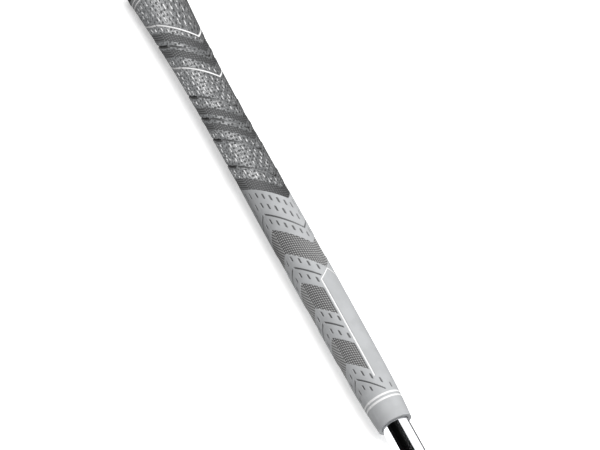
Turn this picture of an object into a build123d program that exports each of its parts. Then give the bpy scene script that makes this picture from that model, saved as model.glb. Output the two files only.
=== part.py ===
from build123d import *
import math
import os

# A moulded golf grip fitted on the butt end of a stepped steel shaft.
# Frame: the axis of the shaft is X. x = 0 is the mouth of the grip, the shaft's free end
# points along +X and the butt cap is at -X. +Z is the front centre line, which carries
# the bare panel, and the two moulding seams are at +Y and -Y.
# A place along the grip is given as u, its distance from the mouth towards the butt, so x = -u.

# ---- overall sizes, millimetres ----
GRIP_LENGTH = 269.6
SHAFT_STUB = 30.0            # free length of shaft beyond the mouth

# ---- rubber over the shaft's butt diameter, wall thickness at its place ----
MOUTH_WALL = 1.48
COLLAR_WALL = 2.38
COLLAR_END = 13.1            # u where the plain collar meets the pattern
LOWER_HAND_WALL = 3.03
LOWER_HAND_START = 45.6      # u where the full lower-hand size begins
UPPER_HAND_WALL = 3.08
UPPER_HAND_START = 130.5     # u where the upper-hand size begins
SWELL_WALL = 3.42            # before the flare of the butt
SWELL_FROM_BUTT = 45.0
FLARE_WALL = 4.58
FLARE_FROM_BUTT = 23.0
RIM_WALL = 5.88              # where the sleeve meets the cap

# ---- layers and lines of the grip ----
OUTER_LAYER = 1.1            # skin compound or corded compound
PAINT_DEPTH = 0.35           # moulded line grooves and the filler in them
LINE_WIDTH = 1.0             # painted chevron lines
PANEL_LINE_WIDTH = 0.55
RING_WIDTH = 0.7
SEAM_GAP = 0.8               # the seam lands between the front and back ends of each line

# ---- shaft and tape ----
SHAFT_BUTT_OD = 15.24
STEP_DROP = 0.51             # loss of diameter at each step
STEP_PITCH = 44.5
STEP_RAMP = 1.5              # length of each tapered step
LAST_STEP = 0.0              # u where the last step ends, at the mouth
SHAFT_WALL = 0.62
TIP_CHAMFER = 0.2
TAPE_THICKNESS = 0.2
TAPE_SETBACK = 4.0           # the tape stops short of the mouth
TAPE_SEAM = 0.8              # open lengthwise joint of the wrapped tape

# ---- butt cap ----
CAP_THICKNESS = 4.6
CAP_LIP = 0.2                # the cap stands proud of the sleeve's rim
CAP_EDGE_RADIUS = 1.8
SPIGOT_WALL = 1.58
SPIGOT_LENGTH = 5.0
SPIGOT_BORE_CLEARANCE = 0.1
VENT_DIAMETER = 3.2

# ---- moulded pattern: places on the seam line ----
BOUNDARY = 143.9             # u where the corded compound meets the plain one
BOUNDARY_RISE_FRONT = 13.7
BOUNDARY_RISE_BACK = 10.5
UPPER_LINES_FROM_BUTT = (24.9, 50.9)
UPPER_RISES_FRONT = (15.5, 13.8)
UPPER_RISE_BACK = 10.5
UPPER_GROOVES_FROM_BUTT = (37.8, 69.0, 82.4, 95.4, 111.7)
UPPER_GROOVE_WIDTH = 1.5
UPPER_GROOVE_DEPTH = 0.7
LOWER_GROOVES = (128.6, 96.0, 62.8, 27.8)
LOWER_RISE = 16.0
LOWER_GROOVE_WIDTH = 1.0
LOWER_GROOVE_DEPTH = 0.6
SEAM_BRIDGE = 2.6            # plain land across the seam between groove ends
PANEL_START = 24.3
PANEL_SHOULDER = 82.9
PANEL_APEX = 88.0
PANEL_WIDE = 12.4            # panel width at its start, by the mouth
PANEL_NARROW = 12.5          # panel width at its shoulder
PANEL_MARGIN = 1.2           # plain land between the outline and a groove's end
COLLAR_MARGIN = 1.6          # plain land between the rings and a groove's end
MOUTH_RINGS = (13.7, 11.5)
CAP_RINGS_FROM_BUTT = (8.8, 6.7)

# ---- worked out from the sizes above ----
SLEEVE_END = GRIP_LENGTH - CAP_THICKNESS
SHAFT_R = [(SHAFT_BUTT_OD - n * STEP_DROP) / 2 for n in range(3)]
STEPS = [LAST_STEP + STEP_PITCH, LAST_STEP]
BUTT_R = SHAFT_BUTT_OD / 2
CAP_R = BUTT_R + RIM_WALL + CAP_LIP
SPIGOT_BORE_R = BUTT_R + TAPE_THICKNESS + SPIGOT_BORE_CLEARANCE
SPIGOT_R = SPIGOT_BORE_R + SPIGOT_WALL
REACH = 8 * CAP_R            # larger than any radius, for cutting tools
SPAN = GRIP_LENGTH + SHAFT_STUB

OUTLINE = [
    (0.0, BUTT_R + MOUTH_WALL),
    (COLLAR_END, BUTT_R + COLLAR_WALL),
    (LOWER_HAND_START, BUTT_R + LOWER_HAND_WALL),
    (UPPER_HAND_START, BUTT_R + UPPER_HAND_WALL),
    (GRIP_LENGTH - SWELL_FROM_BUTT, BUTT_R + SWELL_WALL),
    (GRIP_LENGTH - FLARE_FROM_BUTT, BUTT_R + FLARE_WALL),
    (SLEEVE_END, BUTT_R + RIM_WALL),
]


def radius_at(u):
    """Outside radius of the sleeve at u, between the outline's stations."""
    for (u0, r0), (u1, r1) in zip(OUTLINE, OUTLINE[1:]):
        if u <= u1:
            return r0 + (r1 - r0) * (u - u0) / (u1 - u0)
    return OUTLINE[-1][1]


def turned(edges):
    """Solid of revolution about X from edges that run above the axis."""
    start = edges[0] @ 0
    end = edges[-1] @ 1
    closing = Polyline((end.X, end.Y), (end.X, 0), (start.X, 0), (start.X, start.Y))
    return revolve(make_face(Curve() + [*edges, closing]), Axis.X)


def grip_form(depth):
    """The sleeve's outer form, taken in by depth, filled to the axis."""
    points = [(-u, r - depth) for u, r in OUTLINE]
    return turned([Spline(*points)])


def stepped_form(extra, u_from, u_to):
    """The stepped shaft's outside, grown by extra, between two places."""
    points = [(-u_from, SHAFT_R[0] + extra)]
    for step, before, after in zip(STEPS, SHAFT_R, SHAFT_R[1:]):
        if u_from > step + STEP_RAMP and step > u_to:
            points.append((-(step + STEP_RAMP), before + extra))
            points.append((-step, after + extra))
    points.append((-u_to, points[-1][1]))
    return turned([Polyline(*points)])


def slice_u(u_low, u_high):
    """Slab square to the axis between two places."""
    return Pos(-(u_low + u_high) / 2, 0, 0) * Box(u_high - u_low, REACH, REACH)


def half(side):
    """Everything in front of the seams (side 1) or behind them (side -1)."""
    return Pos(-GRIP_LENGTH / 2, 0, side * REACH / 2) * Box(2 * SPAN, REACH, REACH)


def seam_strip(width):
    """Strip of this width that lies on both seams."""
    return Pos(-GRIP_LENGTH / 2, 0, 0) * Box(2 * SPAN, REACH, width)


def quarter_band(u_low, u_high, rise, angle):
    """One quarter turn of a band that lies aslant between two places.
    The places hold at the middle of the quarter, and rise is the change of u over it."""
    radial = Vector(0, math.sin(math.radians(angle)), math.cos(math.radians(angle)))
    plane = Plane(origin=(0, 0, 0), x_dir=(1, 0, 0), z_dir=radial)
    slant = REACH * rise / (math.sqrt(2) * radius_at(u_low))
    corners = [
        (-(u_low - slant), -REACH),
        (-(u_low + slant), REACH),
        (-(u_high + slant), REACH),
        (-(u_high - slant), -REACH),
    ]
    band = extrude(plane * make_face(Polyline(*corners, close=True)), REACH)
    wedge_plane = Plane(origin=(-GRIP_LENGTH / 2 - SPAN, 0, 0), x_dir=radial, z_dir=(1, 0, 0))
    wedge_outline = Polyline((0, 0), (REACH, REACH), (REACH, -REACH), close=True)
    return band & extrude(wedge_plane * make_face(wedge_outline), 2 * SPAN)


def half_chevron(side, u_low, u_high, rise):
    """Both quarters of a chevron band on the front (side 1) or the back (side -1).
    It lies between the two places at the seams, and rise further on at the centre line."""
    angle = 45 if side == 1 else 135
    growth = -side * rise
    low, high = u_low + rise / 2, u_high + rise / 2
    return [quarter_band(low, high, hand * growth, hand * angle) for hand in (1, -1)]


def line_chevron(side, u_seam, width, rise):
    """Half chevron of this width, centred on one place at the seams."""
    return half_chevron(side, u_seam - width / 2, u_seam + width / 2, rise)


def group(target, tools):
    """The parts of target that lie in any of the tools, as one node."""
    return Compound(children=[solid for tool in tools for solid in (target & tool).solids()])


def cut_grooves(shell, bands, depth, lands):
    """Mould grooves of this depth into a shell, stopped by the lands."""
    floor = grip_form(depth)
    for band in bands:
        tool = band - floor
        for land in lands:
            tool = tool - land
        shell = shell - tool
    return shell


nodes = {}
form = grip_form(0)
skin = form - grip_form(PAINT_DEPTH)
core_form = grip_form(OUTER_LAYER)
layer = form - core_form
seam_land = seam_strip(SEAM_BRIDGE)
seam_gap = seam_strip(SEAM_GAP)
fronts = {"front": 1, "back": -1}

# ---- shaft: chrome-plated stepped steel tube, open at both ends ----
tube = stepped_form(0, SLEEVE_END, -SHAFT_STUB)
tip_edge = tube.edges().filter_by(GeomType.CIRCLE).sort_by(Axis.X)[-1]
tube = chamfer(tip_edge, TIP_CHAMFER)
nodes["shaft_tube"] = tube - stepped_form(-SHAFT_WALL, SLEEVE_END, -SHAFT_STUB)

# ---- tape: one wrap with an open joint along the back ----
tape = stepped_form(TAPE_THICKNESS, SLEEVE_END, TAPE_SETBACK)
tape -= stepped_form(0, SLEEVE_END, TAPE_SETBACK)
nodes["grip_tape"] = tape - Pos(-GRIP_LENGTH / 2, 0, -REACH / 2) * Box(2 * SPAN, TAPE_SEAM, REACH)

# ---- butt cap: its spigot is bonded into the end of the sleeve, and the shaft stops on it ----
cap = Pos(-SLEEVE_END - CAP_THICKNESS / 2, 0, 0) * Rot(0, 90, 0)
cap *= Cylinder(CAP_R, CAP_THICKNESS)
cap = fillet(cap.edges().filter_by(GeomType.CIRCLE).sort_by(Axis.X)[0], CAP_EDGE_RADIUS)
spigot_place = Pos(-SLEEVE_END + SPIGOT_LENGTH / 2, 0, 0) * Rot(0, 90, 0)
spigot = spigot_place * Cylinder(SPIGOT_R, SPIGOT_LENGTH)
cap += spigot - spigot_place * Cylinder(SPIGOT_BORE_R, SPIGOT_LENGTH)
nodes["butt_cap"] = cap - Rot(0, 90, 0) * Cylinder(VENT_DIAMETER / 2, 4 * GRIP_LENGTH)

# ---- underlisting: the soft inner sleeve, moulded from a front and a back panel ----
bore = stepped_form(TAPE_THICKNESS, SLEEVE_END, TAPE_SETBACK) + stepped_form(0, SLEEVE_END, 0)
underlist = core_form - bore - spigot
for name, side in fronts.items():
    nodes[f"underlist_{name}"] = underlist & half(side)

# ---- moulded lines: chevrons by the butt, the panel's outline and the rings ----
paint_bands = {}
for number, (from_butt, rise) in enumerate(zip(UPPER_LINES_FROM_BUTT, UPPER_RISES_FRONT), start=1):
    u_seam = GRIP_LENGTH - from_butt
    for name, side in fronts.items():
        line_rise = -rise if side == 1 else UPPER_RISE_BACK
        paint_bands[f"chevron_paint_{number}_{name}"] = line_chevron(
            side, u_seam, LINE_WIDTH, line_rise)

panel_face = make_face(Polyline(
    (-(PANEL_START - PANEL_LINE_WIDTH), -PANEL_WIDE / 2),
    (-PANEL_SHOULDER, -PANEL_NARROW / 2),
    (-PANEL_APEX, 0),
    (-PANEL_SHOULDER, PANEL_NARROW / 2),
    (-(PANEL_START - PANEL_LINE_WIDTH), PANEL_WIDE / 2),
    close=True,
))
panel_ring = panel_face - offset(panel_face, -PANEL_LINE_WIDTH, kind=Kind.INTERSECTION)
panel_line = extrude(panel_ring, REACH) & slice_u(PANEL_START, PANEL_APEX)
paint_bands["panel_outline_paint"] = [panel_line]

cap_rings = [GRIP_LENGTH - from_butt for from_butt in CAP_RINGS_FROM_BUTT]
for name, places in (("mouth_ring_paint", MOUTH_RINGS), ("cap_ring_paint", cap_rings)):
    for number, u in enumerate(places, start=1):
        paint_bands[f"{name}_{number}"] = [slice_u(u - RING_WIDTH / 2, u + RING_WIDTH / 2)]

for name, bands in paint_bands.items():
    paint_bands[name] = [band - seam_gap for band in bands]
    nodes[name] = group(skin, paint_bands[name])

# ---- outer shells: corded compound towards the butt, plain compound towards the mouth ----
panel_land = extrude(offset(panel_face, PANEL_MARGIN, kind=Kind.INTERSECTION), REACH)
panel_land += Pos(0, 0, REACH / 2) * Box(2 * PANEL_START, PANEL_WIDE, REACH)
collar_land = slice_u(-SHAFT_STUB, max(MOUTH_RINGS) + COLLAR_MARGIN)
for name, side in fronts.items():
    boundary_rise = -BOUNDARY_RISE_FRONT if side == 1 else BOUNDARY_RISE_BACK
    half_layer = layer & half(side)
    plain = half_layer
    for zone in half_chevron(side, BOUNDARY, BOUNDARY + 2 * SPAN, boundary_rise):
        plain = plain - zone
    corded = half_layer - plain
    for from_butt in UPPER_GROOVES_FROM_BUTT:
        bands = line_chevron(side, GRIP_LENGTH - from_butt, UPPER_GROOVE_WIDTH, boundary_rise)
        corded = cut_grooves(corded, bands, UPPER_GROOVE_DEPTH, [seam_land])
    for u_seam in LOWER_GROOVES:
        bands = line_chevron(side, u_seam, LOWER_GROOVE_WIDTH, -LOWER_RISE)
        lands = [seam_land, collar_land] + ([panel_land] if side == 1 else [])
        plain = cut_grooves(plain, bands, LOWER_GROOVE_DEPTH, lands)
    for bands in paint_bands.values():
        for band in bands:
            tool = band & skin
            corded = corded - tool
            plain = plain - tool
    nodes[f"upper_shell_{name}"] = corded
    nodes[f"lower_shell_{name}"] = plain

os.makedirs("parts", exist_ok=True)
for name, shape in nodes.items():
    export_step(shape, f"parts/{name}.step")
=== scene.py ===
import math

import bpy
import numpy as np
from mathutils import Matrix, Vector


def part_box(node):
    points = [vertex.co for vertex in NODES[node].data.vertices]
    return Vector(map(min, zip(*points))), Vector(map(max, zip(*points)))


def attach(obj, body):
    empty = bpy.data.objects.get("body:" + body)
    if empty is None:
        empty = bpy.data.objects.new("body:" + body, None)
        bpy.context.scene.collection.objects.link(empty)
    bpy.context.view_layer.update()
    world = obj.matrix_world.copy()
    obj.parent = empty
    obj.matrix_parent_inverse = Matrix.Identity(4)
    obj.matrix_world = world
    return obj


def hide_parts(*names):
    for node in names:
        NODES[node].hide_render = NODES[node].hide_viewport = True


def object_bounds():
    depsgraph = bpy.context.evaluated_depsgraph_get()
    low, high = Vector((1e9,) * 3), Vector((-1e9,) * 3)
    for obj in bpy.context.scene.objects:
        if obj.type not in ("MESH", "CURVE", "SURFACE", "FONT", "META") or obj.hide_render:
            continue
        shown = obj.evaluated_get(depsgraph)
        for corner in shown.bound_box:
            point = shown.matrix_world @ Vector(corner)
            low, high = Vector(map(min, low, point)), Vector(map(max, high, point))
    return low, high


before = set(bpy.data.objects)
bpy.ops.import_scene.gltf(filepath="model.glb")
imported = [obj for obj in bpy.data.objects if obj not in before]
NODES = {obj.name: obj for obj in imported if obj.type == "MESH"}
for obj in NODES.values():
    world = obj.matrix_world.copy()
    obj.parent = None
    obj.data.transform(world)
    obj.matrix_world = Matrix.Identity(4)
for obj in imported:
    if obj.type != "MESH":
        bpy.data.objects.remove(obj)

bpy.ops.object.select_all(action="DESELECT")
CAD_BOX = [list(corner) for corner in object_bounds()]
MM = 0.001


# ---- camera: a long lens, raised above the grip's front quarter, from the mouth's side ----
# The grip lies along X, and runs from the upper left of the frame to the lower right.
# The distance keeps the other views' camera, which stands farther off, inside its clipping range.
VIEW_AZIMUTH = math.radians(25.2)
VIEW_ELEVATION = math.radians(35.7)
VIEW_DISTANCE = 8.358
LENS_MM = 1000.0
LEAN_FROM_UPRIGHT = math.radians(29.14)
AIM = Vector((-0.1172, 0.00438, 0.00550))

to_camera = Vector((
    math.sin(VIEW_AZIMUTH) * math.cos(VIEW_ELEVATION),
    -math.cos(VIEW_AZIMUTH) * math.cos(VIEW_ELEVATION),
    math.sin(VIEW_ELEVATION),
))
along = (Vector((1, 0, 0)) - to_camera * to_camera.x).normalized()
across = to_camera.cross(along)
right = math.sin(LEAN_FROM_UPRIGHT) * along + math.cos(LEAN_FROM_UPRIGHT) * across
up = -math.cos(LEAN_FROM_UPRIGHT) * along + math.sin(LEAN_FROM_UPRIGHT) * across
bpy.ops.object.camera_add()
camera = bpy.context.object
camera.name = "view_camera"
camera.data.lens = LENS_MM
camera.data.sensor_width = 36.0
camera.data.clip_end = 100.0
turn = Matrix((right, up, to_camera)).transposed().to_4x4()
camera.matrix_world = Matrix.Translation(AIM + to_camera * VIEW_DISTANCE) @ turn
bpy.context.scene.camera = camera


# ---- studio: a pale floor under the grip, a white room, and soft lamps ----
# Black and white cards stand round the grip. Only reflections see them, and they give the
# polished shaft its dark stripe between white bands.
FLOOR_SIZE = 30.0
FLOOR_GAP = 0.0006
FLOOR_GLOW = 0.42
ROOM_FADE = (-0.15, 0.35)
ROOM_STRENGTH = (0.26, 0.60)
floor_z = CAD_BOX[0][2] - FLOOR_GAP


class Wire:
    """A shader socket that adds Math nodes when it is used in arithmetic."""

    def __init__(self, shop, socket):
        self.shop = shop
        self.socket = socket

    def _math(self, operation, a, b=None, c=None):
        given = [x for x in (a, b, c) if x is not None]
        return self.shop.node("ShaderNodeMath", {"operation": operation}, dict(enumerate(given)))

    def __add__(self, other):
        return self._math("ADD", self, other)

    def __sub__(self, other):
        return self._math("SUBTRACT", self, other)

    def __rsub__(self, other):
        return self._math("SUBTRACT", other, self)

    def __mul__(self, other):
        return self._math("MULTIPLY", self, other)

    __radd__ = __add__
    __rmul__ = __mul__

    def sine(self):
        return self._math("SINE", self)

    def ramp(self, low, high):
        """0 below low, 1 above high, smooth between."""
        settings = {"interpolation_type": "SMOOTHSTEP"}
        return self.shop.node("ShaderNodeMapRange", settings, {0: self, 1: low, 2: high})


class Finish:
    """One material: its nodes are added by node(), and wear() puts it on pieces."""

    def __init__(self, name, **constants):
        self.material = bpy.data.materials.new(name)
        self.material.use_nodes = True
        self.tree = self.material.node_tree
        self.shader = self.tree.nodes["Principled BSDF"]
        for socket, value in constants.items():
            self.shader.inputs[socket.replace("_", " ")].default_value = value

    def node(self, kind, settings=None, sockets=None, out=0):
        """Add a node, set it up, feed its sockets with values or wires, return one output."""
        node = self.tree.nodes.new(kind)
        for key, value in (settings or {}).items():
            if key == "stops":
                while len(node.color_ramp.elements) < len(value):
                    node.color_ramp.elements.new(0.5)
                for element, (place, colour) in zip(node.color_ramp.elements, value):
                    element.position = place
                    element.color = colour
            else:
                setattr(node, key, value)
        for key, value in (sockets or {}).items():
            if isinstance(value, Wire):
                self.tree.links.new(value.socket, node.inputs[key])
            else:
                node.inputs[key].default_value = value
        return Wire(self, node.outputs[out])

    def feed(self, socket, wire):
        self.tree.links.new(wire.socket, self.shader.inputs[socket])

    def place(self, stretch=(1, 1, 1)):
        """Object coordinates in millimetres, times stretch."""
        spot = self.node("ShaderNodeTexCoord", out="Object")
        scale = tuple(1000 * s for s in stretch)
        return self.node("ShaderNodeMapping", None, {"Vector": spot, "Scale": scale})

    def noise(self, place, scale, detail=3.0, roughness=0.5):
        sockets = {"Vector": place, "Scale": scale, "Detail": detail, "Roughness": roughness}
        return self.node("ShaderNodeTexNoise", None, sockets)

    def mix(self, factor, a, b):
        """Colour a where factor is 0, colour b where it is 1."""
        sockets = {0: factor, 6: a, 7: b}
        return self.node("ShaderNodeMix", {"data_type": "RGBA"}, sockets, out=2)

    def bump(self, height, distance, strength=1.0):
        sockets = {"Height": height, "Distance": distance * MM, "Strength": strength}
        return self.node("ShaderNodeBump", None, sockets)

    def wear(self, *pieces):
        for piece in pieces:
            piece.data.materials.clear()
            piece.data.materials.append(self.material)


def tone(level, warmth=0.0):
    """A grey of this linear level, a little warm or (below 0) cool."""
    return (level * (1 + warmth), level, level * (1 - warmth), 1.0)


def studio_plane(name, size, place, facing):
    """A square plane that stands in the studio and isn't part of the grip."""
    bpy.ops.mesh.primitive_plane_add(size=size, location=place)
    plane = bpy.context.object
    plane.name = name
    plane.rotation_euler = Vector(facing).to_track_quat("Z", "Y").to_euler()
    return plane


floor = studio_plane("floor", FLOOR_SIZE, (0, 0, floor_z), (0, 0, 1))
paper = Finish(
    "floor_paper",
    Roughness=0.9,
    Emission_Color=(1, 1, 1, 1),
    Emission_Strength=FLOOR_GLOW,
)
fibre = paper.noise(paper.place(), 0.4)
paper.feed("Base Color", paper.mix(fibre.ramp(0.3, 0.7), tone(0.86), tone(0.88)))
paper.wear(floor)
floor.visible_diffuse = False
floor.visible_glossy = False

room = bpy.data.worlds.new("white_room")
room.use_nodes = True
sky = room.node_tree.nodes
wall = sky.new("ShaderNodeTexCoord")
height = sky.new("ShaderNodeSeparateXYZ")
fade = sky.new("ShaderNodeMapRange")
for socket, value in enumerate(ROOM_FADE + ROOM_STRENGTH, start=1):
    fade.inputs[socket].default_value = value
room.node_tree.links.new(wall.outputs["Generated"], height.inputs[0])
room.node_tree.links.new(height.outputs["Z"], fade.inputs[0])
room.node_tree.links.new(fade.outputs[0], sky["Background"].inputs["Strength"])
sky["Background"].inputs["Color"].default_value = (1, 1, 1, 1)
bpy.context.scene.world = room


def soft_lamp(name, direction, distance, size, power):
    """A square soft lamp, aimed at the middle of the grip."""
    bpy.ops.object.light_add(type="AREA")
    lamp = bpy.context.object
    lamp.name = name
    lamp.data.size = size
    lamp.data.energy = power
    toward = Vector(direction).normalized()
    lamp.location = AIM + toward * distance
    lamp.rotation_euler = toward.to_track_quat("Z", "Y").to_euler()
    return lamp


key_lamp = soft_lamp("key_lamp", (0.1, -0.42, 0.9), 1.4, 1.0, 15.0)
soft_lamp("rim_lamp", (0.0, 0.8, 0.6), 1.4, 0.9, 1.2)
sheen_lamp = soft_lamp("sheen_lamp", (-0.346, -0.87, 0.38), 1.3, 0.5, 34.0)

CARD_STRETCH = 4
CARD_DISTANCE = 0.33


def mirror_card(name, finish, size, place, facing):
    """A card that polished metal reflects, and that neither lights nor shades anything."""
    card = studio_plane(name, size, place, facing)
    card.scale = (CARD_STRETCH, 1, 1)
    card.visible_camera = False
    card.visible_diffuse = False
    card.visible_transmission = False
    card.visible_shadow = False
    finish.wear(card)


flag_black = Finish(
    "flag_black",
    Base_Color=tone(0.004),
    Roughness=1.0,
    Specular_IOR_Level=0.0,
)
card_white = Finish("card_white", Emission_Color=(1, 1, 1, 1), Emission_Strength=1.05)
toward_eye = Vector((0, to_camera.y, to_camera.z)).normalized()
beside_eye = toward_eye.cross(Vector((1, 0, 0)))
# Name, finish, angle from the eye's direction about the shaft, half of the angle it spans.
STANDING_CARDS = (
    ("flag_low", flag_black, -19.5, 22.0),
    ("flag_high", flag_black, 19.5, 22.0),
    ("card_top", card_white, 66.0, 24.5),
    ("card_back", card_white, 109.5, 20.0),
)
# Name, finish, size, place on the floor, height above it.
FLOOR_CARDS = (
    ("flag_front", flag_black, 0.33, (AIM.x, -0.195), 0.0003),
    ("flag_rear", flag_black, 0.6, (AIM.x, 0.322), 0.0003),
    ("card_under", card_white, 0.052, (0.0, -0.005), 0.0004),
)
for name, finish, swing, half_span in STANDING_CARDS:
    swing = math.radians(swing)
    facing = toward_eye * math.cos(swing) + beside_eye * math.sin(swing)
    width = 2 * CARD_DISTANCE * math.tan(math.radians(half_span))
    place = facing * CARD_DISTANCE + Vector((AIM.x, 0, 0))
    mirror_card(name, finish, width, place, -facing)
for name, finish, size, place, lift in FLOOR_CARDS:
    mirror_card(name, finish, size, (*place, floor_z + lift), (0, 0, 1))

bpy.context.scene.view_settings.view_transform = "Standard"


# ---- shaft: steel tube, stepped down along its length, chrome plated and polished ----
# It is pushed up inside the grip, and only the length beyond the mouth shows.
chrome = Finish("shaft_chrome", Metallic=1.0, Base_Color=(0.86, 0.87, 0.89, 1))
haze = chrome.noise(chrome.place((0.05, 1, 1)), 0.6)
chrome.feed("Roughness", haze * 0.05 + 0.03)
chrome.feed("Normal", chrome.bump(chrome.noise(chrome.place((0.02, 2, 2)), 1.4), 0.002))
chrome.wear(NODES["shaft_tube"])


# ---- tape: one wrap of double-sided paper tape between the shaft and the rubber ----
# Wetted with solvent it lets the grip slide on, and then it holds the grip fast.
tape = Finish("grip_tape", Roughness=0.85)
crepe = tape.noise(tape.place((0.3, 1, 1)), 2.2)
tape.feed("Base Color", tape.mix(crepe, (0.62, 0.55, 0.40, 1), (0.74, 0.68, 0.54, 1)))
tape.feed("Normal", tape.bump(crepe, 0.05))
tape.wear(NODES["grip_tape"])


# ---- underlisting: the soft black inner sleeve, seen as a dark ring at the mouth ----
# It is pressed in two halves, and the outer shells are moulded on it.
lining = Finish("underlisting_rubber", Roughness=0.75)
grain = lining.noise(lining.place(), 5.0)
lining.feed("Base Color", lining.mix(grain, tone(0.028), tone(0.05)))
lining.feed("Normal", lining.bump(grain, 0.04))
lining.wear(NODES["underlist_front"], NODES["underlist_back"])


# ---- lower shells: light grey rubber, two half panels joined at the seams ----
# Chevron bands of short slots and fine knurling are moulded in, with grooves between them.
# v is the distance from the mouth, in millimetres, at which a band crosses the seam.
OUTER_COLUMNS = 160
INNER_COLUMNS = 7
SHELL_WALL = 1.0
WRAP_RADIUS = 10.8
SMOOTH_ANGLE = math.radians(50)
MOUTH_END = 0.4
MOUTH_BORE = 7.5
MOUTH_ROLL = 0.12
BOUNDARY_V = 143.9
BOUNDARY_RISE = (13.7, 10.5)
LOWER_RISE = 16.0
LOWER_ROWS = 560
LOWER_FLAT_V = 27.8
LOWER_GROOVES = (128.6, 96.0, 62.8, 27.8)
LOWER_SLOT_ROWS = (140.3, 134.4, 124.5, 101.6, 91.7, 68.1, 57.7, 33.1, 23.0)
LOWER_KNURLS = ((119.1, 104.5), (86.8, 71.2), (53.3, 37.7))
FULL_COLUMNS = (10.5, 26.4, 42.3, 58.2, 74.1, 90.0)
PANEL_COLUMNS = (10.0, 28.3, 46.2, 66.0, 90.0)
BACK_COLUMNS = (9.5, 28.0, 46.5, 65.0, 83.5)
BACK_ROW_DROP = 0.85
PANEL_PLACES = (24.3, 82.9, 88.0)
PANEL_HALVES = (6.2, 6.25, 0.0)
PANEL_LINE = 0.55
PANEL_MARGIN = 0.6
PANEL_ROWS_BELOW = 110
MOUTH_RINGS = (13.7, 11.5)
OVERSPILL_WIDTH = 1.15
LOWER_SLOT = (2.9, 0.8)
SLOT_DEPTH = 0.5
LOWER_GROOVE_WIDTHS = (1.0, 1.3)
LOWER_GROOVE_DEPTH = 0.55
LAST_GROOVE_STOP = 24
LOWER_KNURL_PITCH = (1.3, 5.625)
LOWER_KNURL_DEPTH = 0.42
LOWER_PIP_RISE = 0.34
RIDGE_SLANT = 0.24
RIDGE_PITCH = 2.2
RECESS_WIDTH = 1.0
RECESS_DEPTH = 0.3
SEAM_WIDTH = 0.3
SEAM_DEPTH = 0.06
PROBE_ANGLES = (20, 40, 60, 89, 91, 120, 140, 160)

shells = [NODES[f"{zone}_shell_{side}"] for zone in ("lower", "upper") for side in ("front", "back")]


def outside_profile(station_mm=1.5):
    """Places and radii, in mm, along the outside of the CAD shells, past their grooves."""
    end = -min(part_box(shell.name)[0].x for shell in shells) / MM
    found = []
    for u in np.append(np.arange(0.2, end - 0.2, station_mm), end - 0.1):
        best = 0
        for angle in PROBE_ANGLES:
            ray = Vector((0, math.sin(math.radians(angle)), math.cos(math.radians(angle))))
            for shell in shells:
                hit, spot, _, _ = shell.ray_cast(Vector((-u * MM, 0, 0)) + ray * 0.05, -ray)
                if hit:
                    best = max(best, math.hypot(spot.y, spot.z) / MM)
        found.append((u, best))
    return np.array(found).T


PROFILE = outside_profile()


def outside_radius(u):
    """Radius of the grip's skin, in mm, at this distance from the mouth."""
    return np.interp(u, *PROFILE)


def smoothstep(low, high, x):
    """0 below low, 1 above high, smooth between."""
    t = np.clip((x - low) / (high - low), 0, 1)
    return t * t * (3 - 2 * t)


def place_of(v, angle, rise_front, rise_back):
    """Distance from the mouth at which band line v passes this angle from the front centre.
    The rises are the change of place from the seam to the front and back centre lines."""
    a = np.abs(angle)
    front = a <= 90
    rise = np.where(front, rise_front, rise_back)
    turned = np.radians(np.where(front, 45 - a, a - 135))
    middle = v + rise / 2
    u = middle
    for _ in range(4):
        u = middle + rise / math.sqrt(2) * np.sin(turned) * outside_radius(u) / outside_radius(middle)
    return u


def near_line(x, centre, width, soft=0.25):
    """1 within width of a line, 0 outside, with a soft edge, in mm."""
    return 1 - smoothstep(width / 2 - soft / 2, width / 2 + soft / 2, np.abs(x - centre))


def slots(v, from_seam_angle, radius, rows, columns, length, width):
    """Mask of short slots that lie along the grip, one in each column of each row."""
    mask = np.zeros_like(v)
    for row in rows:
        end = np.maximum(np.abs(v - row) - (length - width) / 2, 0)
        for column in columns:
            beside = np.radians(from_seam_angle - column) * radius
            away = np.hypot(beside, end)
            mask = np.maximum(mask, 1 - smoothstep(width / 2 - 0.15, width / 2 + 0.15, away))
    return mask


def waves(x, pitch):
    """0 to 1 and back over each pitch."""
    return np.cos(2 * np.pi * x / pitch) * 0.5 + 0.5


def knurl(v, angle, zones, pitch_v, pitch_angle, ridges):
    """Zone mask, and the pips inside it, from 0 between pips to 1 on top.
    On the front they are separate pips, and on the back they run together into ridges."""
    zone = np.zeros_like(v)
    for high, low in zones:
        zone = np.maximum(zone, near_line(v, (high + low) / 2, high - low))
    a = np.abs(angle)
    row = v + 0.5 * pitch_v * (np.floor(a / pitch_angle + 0.5) % 2)
    pips = waves(row, pitch_v) * waves(a, pitch_angle)
    return zone, np.where(a <= 90, pips, ridges)


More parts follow.
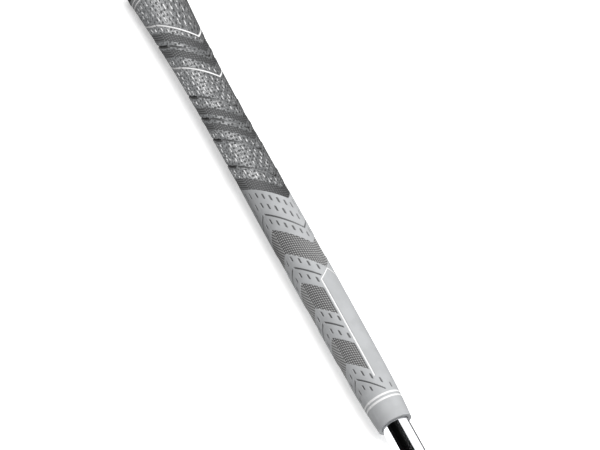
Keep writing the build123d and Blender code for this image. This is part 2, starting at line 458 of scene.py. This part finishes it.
def half_shell(name, front, rows, rise_at, v_range, relief):
    """A closed half shell. A grid is wrapped round the section (outside, seam wall, inside,
    seam wall), its rows follow the chevrons, and relief presses the pattern into it.
    At the mouth the shell rolls in over the end of the lining."""
    section = OUTER_COLUMNS + 2 + INNER_COLUMNS
    bpy.ops.mesh.primitive_grid_add(x_subdivisions=section, y_subdivisions=rows, size=1)
    shell = bpy.context.object
    shell.name = shell.data.name = name
    spots = np.empty(len(shell.data.vertices) * 3)
    shell.data.vertices.foreach_get("co", spots)
    spots = spots.reshape(-1, 3)
    column = np.rint((spots[:, 0] + 0.5) * section)
    v = v_range[0] + (spots[:, 1] + 0.5) * (v_range[1] - v_range[0])
    outer = column <= OUTER_COLUMNS
    closing = column == section
    outward = np.clip(column / OUTER_COLUMNS, 0, 1)
    inward = np.clip(1 - (column - OUTER_COLUMNS - 1) / INNER_COLUMNS, 0, 1)
    angle = np.where(outer, outward, inward) * 180 - 90
    angle[closing] = -90
    rise_front, rise_back = rise_at(v)
    full = angle if front else angle + 180
    full = (full + 180) % 360 - 180
    if not front:
        full[full == 180] = -180
    u = place_of(v, full, rise_front, rise_back)
    radius = outside_radius(u)
    depth, marks = relief(u, v, full, radius)
    on_skin = outer | closing
    mouth = (u < MOUTH_END) & (v < MOUTH_END)
    inside = np.where(mouth, MOUTH_BORE, radius - SHELL_WALL)
    radius = np.where(on_skin, radius + depth, inside)
    u = np.where(mouth, u - MOUTH_ROLL, u)
    turned = np.radians(full)
    moved = np.stack([-u, radius * np.sin(turned), radius * np.cos(turned)], axis=1) * MM
    shell.data.vertices.foreach_set("co", moved.ravel())
    layer = shell.data.attributes.new("marks", "FLOAT_COLOR", "POINT")
    colours = np.ones((len(v), 4))
    colours[:, :3] = np.stack(marks, axis=1) * on_skin[:, None]
    layer.data.foreach_set("color", colours.ravel())
    developed = np.stack([np.radians(full) * WRAP_RADIUS, u], axis=1)
    corner_vertex = np.empty(len(shell.data.loops), dtype=int)
    shell.data.loops.foreach_get("vertex_index", corner_vertex)
    wrap = shell.data.uv_layers[0] if shell.data.uv_layers else shell.data.uv_layers.new()
    wrap.name = "developed"
    wrap.data.foreach_set("uv", developed[corner_vertex].ravel())
    bpy.ops.object.mode_set(mode="EDIT")
    bpy.ops.mesh.select_all(action="SELECT")
    bpy.ops.mesh.remove_doubles(threshold=1e-6)
    bpy.ops.mesh.fill_holes(sides=0)
    bpy.ops.mesh.select_all(action="SELECT")
    bpy.ops.mesh.normals_make_consistent(inside=False)
    bpy.ops.object.mode_set(mode="OBJECT")
    bpy.ops.object.shade_smooth_by_angle(angle=SMOOTH_ANGLE)
    bpy.ops.object.select_all(action="DESELECT")
    return shell


def shell_marks(finish):
    """The three masks that half_shell() stored on the skin."""
    stored = finish.node("ShaderNodeVertexColor", {"layer_name": "marks"})
    return [finish.node("ShaderNodeSeparateColor", None, {0: stored}, out=k) for k in range(3)]


def lower_rise(v):
    """How far the bands climb from the seam to the front and back centre lines."""
    flat = np.clip(v / LOWER_FLAT_V, 0, 1)
    blend = smoothstep(LOWER_GROOVES[0], BOUNDARY_V, v)
    front = LOWER_RISE + (BOUNDARY_RISE[0] - LOWER_RISE) * blend
    back = -LOWER_RISE + (BOUNDARY_RISE[1] + LOWER_RISE) * blend
    return -front * flat, back * flat


def panel_clear(u, angle, radius, margin):
    """1 inside the bare panel and its margin on the front, 0 outside."""
    half_width = np.interp(u, PANEL_PLACES, PANEL_HALVES, right=-9) + margin
    inside = np.abs(radius * np.sin(np.radians(angle))) < half_width
    return inside & (np.abs(angle) < 90) & (u > PANEL_PLACES[0] - max(margin, 0))


def lower_relief(u, v, angle, radius):
    """The pattern's depth, and its marks: cuts, knurl zone, pips or white round the rings."""
    front = np.abs(angle) <= 90
    seam_angle = np.abs(np.abs(angle) - 90)
    from_seam = np.radians(seam_angle) * radius
    from_middle = np.abs(radius * np.sin(np.radians(angle)))
    above_rings = u > max(MOUTH_RINGS) + 1.6
    clear = ~panel_clear(u, angle, radius, PANEL_MARGIN) & above_rings

    upper_rows = [row for row in LOWER_SLOT_ROWS if row > PANEL_ROWS_BELOW]
    *panel_rows, last_row = [row for row in LOWER_SLOT_ROWS if row < PANEL_ROWS_BELOW]
    dropped = [row - BACK_ROW_DROP * (row < LOWER_GROOVES[0]) for row in LOWER_SLOT_ROWS]
    slot_front = slots(v, seam_angle, radius, upper_rows, FULL_COLUMNS, *LOWER_SLOT)
    panel_slots = slots(v, seam_angle, radius, panel_rows, PANEL_COLUMNS, *LOWER_SLOT)
    last_slots = slots(v, seam_angle, radius, [last_row], PANEL_COLUMNS[:2], *LOWER_SLOT)
    slot_front = np.maximum(slot_front, np.maximum(panel_slots, last_slots))
    slot_back = slots(v, seam_angle, radius, dropped, BACK_COLUMNS, *LOWER_SLOT)
    slot = np.where(front, slot_front, slot_back) * clear

    ridges = 0.1 + 0.55 * waves(u - RIDGE_SLANT * np.abs(angle), RIDGE_PITCH)
    zone, pips = knurl(v, angle, LOWER_KNURLS, *LOWER_KNURL_PITCH, ridges)
    above_panel = v > LOWER_GROOVES[1]
    beside_panel = from_middle > PANEL_HALVES[0] + PANEL_MARGIN
    zone = zone * clear * (~front | above_panel | beside_panel)

    groove_width = np.where(front, *LOWER_GROOVE_WIDTHS)
    groove = sum(near_line(v, line, groove_width, 0.4) for line in LOWER_GROOVES)
    runs_on = (np.abs(angle) > LAST_GROOVE_STOP) | (v > PANEL_ROWS_BELOW) | ~front
    runs_on = runs_on & ~panel_clear(u, angle, radius, 2 * PANEL_MARGIN)
    groove = groove * clear * runs_on * smoothstep(0.5, 0.9, from_seam)

    paint = sum(near_line(u, ring, RECESS_WIDTH, 0.3) for ring in MOUTH_RINGS)
    outer_edge = panel_clear(u, angle, radius, 0.1)
    inner_edge = panel_clear(u, angle, radius, -PANEL_LINE - 0.1)
    outline = (outer_edge ^ inner_edge) & (u > PANEL_PLACES[0])
    paint = np.maximum(paint, outline.astype(float))
    overspill = sum(near_line(u, ring, OVERSPILL_WIDTH, 0.3) for ring in MOUTH_RINGS)

    depth = -SLOT_DEPTH * slot - LOWER_GROOVE_DEPTH * groove
    depth -= zone * (LOWER_KNURL_DEPTH - LOWER_PIP_RISE * pips)
    depth -= RECESS_DEPTH * np.clip(paint, 0, 1)
    depth -= SEAM_DEPTH * near_line(from_seam, 0, SEAM_WIDTH)
    return depth, (np.clip(slot + groove, 0, 1), zone, np.where(zone > 0, pips, overspill))


light_rubber = Finish("plain_rubber")
cut_shade, zone, pip = shell_marks(light_rubber)
cloud = light_rubber.noise(light_rubber.place(), 0.12)
speck = light_rubber.noise(light_rubber.place(), 3.5)
skin = light_rubber.mix(cloud.ramp(0.35, 0.65), tone(0.44, -0.02), tone(0.48, -0.02))
skin = light_rubber.mix(speck.ramp(0.55, 0.75) * 0.25, skin, tone(0.39, -0.02))
# Painted shade: between the knurl pips the colour drops to near black, and the pip tops keep the
# rubber's grey.
knurl_shaded = light_rubber.mix(pip.ramp(0.1, 0.7), tone(0.10), tone(0.5))
skin = light_rubber.mix(zone, skin, knurl_shaded)
# Painted shade: the slots and grooves are coloured near black. This stands in for the shade inside
# them, since the rubber is one colour.
skin = light_rubber.mix(cut_shade * 0.85, skin, tone(0.07))
skin = light_rubber.mix(pip * (1 - zone), skin, tone(0.86))
light_rubber.feed("Base Color", skin)
light_rubber.feed("Roughness", speck * 0.2 + 0.5)
light_rubber.feed("Normal", light_rubber.bump(light_rubber.noise(light_rubber.place(), 6.0), 0.03))

for side in ("front", "back"):
    node = f"lower_shell_{side}"
    shell = half_shell(
        f"{node}_moulded", side == "front", LOWER_ROWS, lower_rise, (0, BOUNDARY_V), lower_relief
    )
    light_rubber.wear(shell)
    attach(shell, "root")
    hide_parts(node)


# ---- upper shells: dark rubber with cotton cord in it, two half panels like the lower ones ----
# Light cord ends lie in the slots, deep grooves cross the hand, and knurled bands lie by them.
UPPER_ROWS = 560
UPPER_LINES = (244.7, 218.7)
UPPER_RISES = (15.5, 13.8)
UPPER_RISE_BACK = 10.5
UPPER_GROOVES = (231.8, 200.6, 187.2, 174.2, 157.9)
UPPER_KNURLS = ((239.9, 235.0), (229.7, 225.3), (194.1, 190.0), (184.4, 180.4), (150.6, 143.9))
UPPER_SLOT_ROWS = (
    257.4, 254.4, 251.4, 248.4, 242.2, 222.2, 215.4, 212.4, 209.4, 206.4, 203.6,
    197.6, 177.4, 171.2, 168.2, 165.2, 162.2, 154.9, 152.6,
)
UPPER_PITCH = 13.5
CAP_RINGS = (260.8, 262.9)
UPPER_DASH = (2.4, 0.6)
DASH_DEPTH = 0.35
UPPER_GROOVE_WIDTHS = (1.0, 1.7)
UPPER_GROOVE_DEPTHS = (0.4, 0.9)
LIP_RISE = 0.3
LIP_REACH = 4.0
CHEVRON_RECESS_WIDTH = 1.3
UPPER_KNURL_PITCH = (1.3, 6.0)
UPPER_KNURL_DEPTH = 0.3
UPPER_PIP_RISE = 0.26
GROOVE_HIGHLIGHT_WIDTH = 0.55
PIT_PITCH = (2.2, 10.0)
PIT_LEAN = math.radians(35)
PIT_HALF_LENGTH = 0.42
PIT_DEPTH = 0.35
SLEEVE_END = -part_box("upper_shell_front")[0].x / MM


def upper_rise(v):
    """The same climb for the upper shells, which ends flat under the cap."""
    front = np.interp(v, (UPPER_LINES[1], UPPER_LINES[0]), (UPPER_RISES[1], UPPER_RISES[0]))
    flat = np.clip((SLEEVE_END - v) / (SLEEVE_END - UPPER_LINES[0]), 0, 1)
    return -front * flat, UPPER_RISE_BACK * flat


def pit_strokes(v, angle, radius):
    """Mask of short slanting pits on a staggered net over the corded skin."""
    step = np.floor(angle / PIT_PITCH[1] + 0.5)
    along_grip = (v / PIT_PITCH[0] + 0.5 * (step % 2)) % 1 - 0.5
    round_grip = angle / PIT_PITCH[1] - step
    x = along_grip * PIT_PITCH[0]
    y = np.radians(round_grip * PIT_PITCH[1]) * radius
    lengthways = np.abs(x * math.cos(PIT_LEAN) + y * math.sin(PIT_LEAN))
    lengthways = np.maximum(lengthways - PIT_HALF_LENGTH, 0)
    sideways = y * math.cos(PIT_LEAN) - x * math.sin(PIT_LEAN)
    return 1 - smoothstep(0.16, 0.4, np.hypot(lengthways, sideways))


def upper_relief(u, v, angle, radius):
    """The pattern's depth, and its marks: light dashes and painted highlight lines in the grooves,
    knurl zone, and painted shade in the hollows.
    """
    front = np.abs(angle) <= 90
    seam_angle = np.abs(np.abs(angle) - 90)
    from_seam = np.radians(seam_angle) * radius
    clear = u < min(CAP_RINGS) - 1.2

    columns = 90 - UPPER_PITCH * np.arange(7)
    half_way = columns[1:] + UPPER_PITCH / 2
    dashes = slots(v, seam_angle, radius, UPPER_SLOT_ROWS[::2], columns, *UPPER_DASH)
    between = slots(v, seam_angle, radius, UPPER_SLOT_ROWS[1::2], half_way, *UPPER_DASH)
    dashes = np.maximum(dashes, between) * clear

    ridges = waves(v - 0.2, UPPER_KNURL_PITCH[0])
    zone, pips = knurl(v, angle, UPPER_KNURLS, *UPPER_KNURL_PITCH, ridges)

    groove_width = np.where(front, *UPPER_GROOVE_WIDTHS)
    groove_depth = np.where(front, *UPPER_GROOVE_DEPTHS)
    groove = sum(near_line(v, line, groove_width, 0.4) for line in UPPER_GROOVES)
    groove = groove * smoothstep(0.3, 0.7, from_seam)
    lip = 0
    for line in UPPER_GROOVES:
        lip = lip + LIP_RISE * np.exp(-np.clip(line - v, 0, 50) / LIP_REACH) * (v < line)

    paint = sum(near_line(v, line, CHEVRON_RECESS_WIDTH, 0.3) for line in UPPER_LINES)
    paint = paint + sum(near_line(u, ring, RECESS_WIDTH, 0.3) for ring in CAP_RINGS)
    pitted = (1 - zone) * (1 - np.clip(groove + paint, 0, 1)) * clear * (1 - dashes)
    pits = pit_strokes(v, angle, radius) * pitted

    depth = lip - DASH_DEPTH * dashes - groove_depth * groove - PIT_DEPTH * pits
    depth -= zone * (UPPER_KNURL_DEPTH - UPPER_PIP_RISE * pips)
    depth -= RECESS_DEPTH * np.clip(paint, 0, 1)
    depth -= SEAM_DEPTH * near_line(from_seam, 0, SEAM_WIDTH)

    # A front groove gets painted shade by the seam and at the centre line, and a painted highlight
    # line between, where its wall catches the light.
    groove_dark = 0.8 - 0.8 * smoothstep(22, 48, seam_angle) + smoothstep(76, 84, seam_angle)
    groove_dark = np.where(front, groove_dark, 1)
    # Painted shade: pits, grooves and the hollows between knurl pips are marked to be coloured near
    # black.
    dark = pits * 0.8 + groove * groove_dark + zone * (1 - pips) * 0.85
    dark = np.clip(dark, 0, 1)
    # Painted shade: on the back shell the whole knurl zone is painted near black, with lighter ridge
    # stripes, for the side turned away from the light.
    dark = np.maximum(dark, zone * np.where(front, 0, 0.95 - 0.6 * pips))
    # Painted highlight: a light line along each front groove, from about 40 to 80 degrees from the
    # seam, for the groove wall that faces the light. It rides in the first mark with the light
    # dashes.
    lit_groove_band = smoothstep(40, 55, seam_angle) * (1 - smoothstep(76, 80, seam_angle)) * front
    thread = sum(near_line(v, line, GROOVE_HIGHLIGHT_WIDTH, 0.4) for line in UPPER_GROOVES)
    return depth, (np.maximum(dashes, thread * lit_groove_band * 0.35), zone, dark)


corded = Finish("corded_rubber")
dash_and_highlight, zone, dark = shell_marks(corded)
wrap = corded.node("ShaderNodeUVMap", {"uv_map": "developed"})
thread = corded.node("ShaderNodeMapping", None, {"Vector": wrap, "Scale": (1.5, 0.5, 1)})
fleck = corded.noise(thread, 1.0, 4.0, 0.65)
fine = corded.noise(corded.place(), 2.2, 4.0)
cloud = corded.noise(corded.place(), 0.14)
blotch = corded.noise(corded.place(), 0.45)
rubber = corded.mix(fine, tone(0.045, -0.03), tone(0.105, -0.03))
cotton = corded.mix(fine, tone(0.15, -0.01), tone(0.32, -0.01))
shown = fleck.ramp(0.47, 0.66) * (cloud.ramp(0.35, 0.65) * 0.5 + 0.25)
skin = corded.mix(shown * (1 - zone * 0.6), rubber, cotton)
# The first mark holds the light cord dashes and also the painted highlight lines in the front
# grooves, both coloured light here.
skin = corded.mix(dash_and_highlight * blotch.ramp(0.36, 0.6), skin, tone(0.38))
# Painted shade: the marked pits, grooves and knurl hollows are coloured near black.
skin = corded.mix(dark, skin, tone(0.012))
corded.feed("Base Color", skin)
corded.feed("Roughness", fine * 0.3 + 0.3 + dark * 0.35)
corded.feed("Normal", corded.bump(fleck + fine * 0.6, 0.14))

# Light linking: the sheen lamp lights only these two shells, and the key lamp leaves them out.
cord_sheen = bpy.data.collections.new("cord_sheen")
cord_shade = bpy.data.collections.new("cord_shade")
bpy.context.scene.collection.children.link(cord_sheen)
bpy.context.scene.collection.children.link(cord_shade)
sheen_lamp.light_linking.receiver_collection = cord_sheen
key_lamp.light_linking.receiver_collection = cord_shade
for side in ("front", "back"):
    node = f"upper_shell_{side}"
    span = (BOUNDARY_V, SLEEVE_END)
    shell = half_shell(
        f"{node}_moulded", side == "front", UPPER_ROWS, upper_rise, span, upper_relief
    )
    corded.wear(shell)
    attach(shell, "root")
    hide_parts(node)
    cord_sheen.objects.link(shell)
    cord_shade.objects.link(shell)
for linked in cord_shade.collection_objects:
    linked.light_linking.link_state = "EXCLUDE"


# ---- line filler: white flexible paint, wiped into the moulded lines ----
# It fills the chevron lines, the outline of the bare panel, and the rings at both ends.
filler = Finish("line_paint", Roughness=0.45)
patch = filler.noise(filler.place(), 1.2)
filler.feed("Base Color", filler.mix(patch, tone(0.84), tone(0.92)))
filler.feed("Normal", filler.bump(patch, 0.03))
filler.wear(*[node for name, node in NODES.items() if "_paint" in name])


# ---- butt cap: moulded in the dark compound without cord, bonded on by its spigot ----
# A round-edged disc closes the grip, with a groove near its rim, a shallow dish and the air vent.
CAP_RADIUS = 13.7
CAP_THICKNESS = 4.6
CAP_END = -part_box("butt_cap")[0].x / MM
CAP_EDGE = 1.8
# How far each inset goes in from the last, and how far it rises.
CAP_STEPS = (
    (0.8, 0.0),
    (0.3, -0.4),
    (0.9, 0.0),
    (0.3, 0.4),
    (0.6, 0.0),
    (0.8, -0.35),
    (5.2, -0.25),
    (0.5, -0.4),
    (0.3, 0.0),
)
VENT_DEPTH = 3.2

bpy.ops.mesh.primitive_cylinder_add(
    vertices=96,
    radius=CAP_RADIUS * MM,
    depth=CAP_THICKNESS * MM,
    location=((CAP_THICKNESS / 2 - CAP_END) * MM, 0, 0),
    rotation=(0, math.pi / 2, 0),
)
butt_cap = bpy.context.object
butt_cap.name = butt_cap.data.name = "butt_cap_moulded"
bpy.ops.object.transform_apply(location=True, rotation=True, scale=True)


def pick_end(mode):
    """Select the cap's end face, or the edges round it."""
    bpy.ops.object.mode_set(mode="OBJECT")
    mesh = butt_cap.data
    for part in (mesh.vertices, mesh.edges, mesh.polygons):
        part.foreach_set("select", [False] * len(part))
    end = min(mesh.polygons, key=lambda face: face.center.x)
    if mode == "FACE":
        end.select = True
    else:
        rim = {tuple(sorted(key)) for key in end.edge_keys}
        for edge in mesh.edges:
            edge.select = tuple(sorted(edge.vertices)) in rim
    bpy.ops.object.mode_set(mode="EDIT")
    bpy.ops.mesh.select_mode(type=mode)


pick_end("EDGE")
bpy.ops.mesh.bevel(offset=CAP_EDGE * MM, offset_type="OFFSET", segments=8, affect="EDGES")
pick_end("FACE")
for width, rise in CAP_STEPS:
    bpy.ops.mesh.inset(thickness=width * MM, depth=rise * MM)
bpy.ops.mesh.extrude_region_move(TRANSFORM_OT_translate={"value": (VENT_DEPTH * MM, 0, 0)})
bpy.ops.mesh.select_all(action="SELECT")
bpy.ops.mesh.normals_make_consistent(inside=False)
bpy.ops.object.mode_set(mode="OBJECT")
bpy.ops.object.shade_smooth_by_angle(angle=math.radians(35))
bpy.ops.object.select_all(action="DESELECT")

cap = Finish("butt_cap_rubber")
grain = cap.noise(cap.place(), 4.0)
off_axis = cap.place((0, 1, 1))
radius = cap.node("ShaderNodeVectorMath", {"operation": "LENGTH"}, {0: off_axis}, out=1)
tool_rings = (radius * 4.0).sine()
cap.feed("Base Color", cap.mix(grain, tone(0.05, -0.03), tone(0.085, -0.03)))
cap.feed("Roughness", grain * 0.2 + 0.5)
cap.feed("Normal", cap.bump(grain + tool_rings * 0.4, 0.05))
cap.wear(butt_cap)
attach(butt_cap, "root")
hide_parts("butt_cap")
